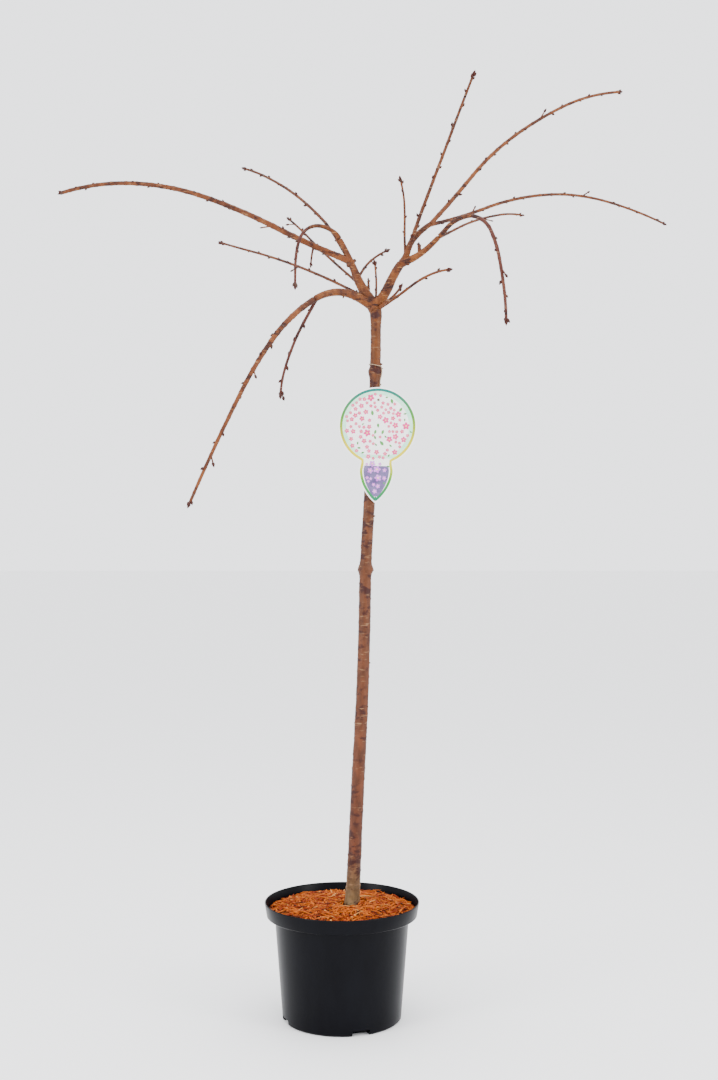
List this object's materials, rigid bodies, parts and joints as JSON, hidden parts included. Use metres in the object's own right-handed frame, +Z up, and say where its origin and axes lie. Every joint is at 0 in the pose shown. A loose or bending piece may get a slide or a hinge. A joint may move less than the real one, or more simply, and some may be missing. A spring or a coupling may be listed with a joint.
{
  "type": "potted prunus tree",
  "caption": "Young weeping prunus, bare in winter, grafted on a straight stem, standing in a round nursery pot of bark-mulched compost with a plain picture tag.",
  "frame": {"origin": "centre of the pot's flat underside, on the surface it stands on", "axes": "+Z up along the stem, +X to the right in the picture, +Y away from the viewer"},
  "size_m": [0.9674, 0.4533, 1.4017],
  "materials": {
    "pot_plastic": "satin",
    "bark_mulch": "matte",
    "bark": "satin",
    "twigs": "satin",
    "label_card": "gloss",
    "tie_string": "matte"
  },
  "bodies": {
    "root": {"pot": "pot_plastic", "potting_mix": "bark_mulch", "trunk": "bark", "left_bough": "bark", "left_bow": "bark", "left_arch": "bark", "right_bough": "bark", "right_upper": "bark", "right_lower": "bark", "right_bow": "bark", "left_bow_whip": "twigs", "left_long": "twigs", "left_top": "twigs", "left_back": "twigs", "left_low": "twigs", "left_arch_whip": "twigs", "left_hanging": "twigs", "left_pendant": "twigs", "middle_spray": "twigs", "middle_upright": "twigs", "snag": "twigs", "right_thin": "twigs", "right_tall": "twigs", "right_long": "twigs", "right_reach": "twigs", "right_bow_whip": "twigs", "right_low_thin": "twigs", "right_stub": "twigs", "side_short": "twigs", "side_long": "twigs", "label": "label_card", "label_tie": "tie_string"}
  },
  "joints": []
}
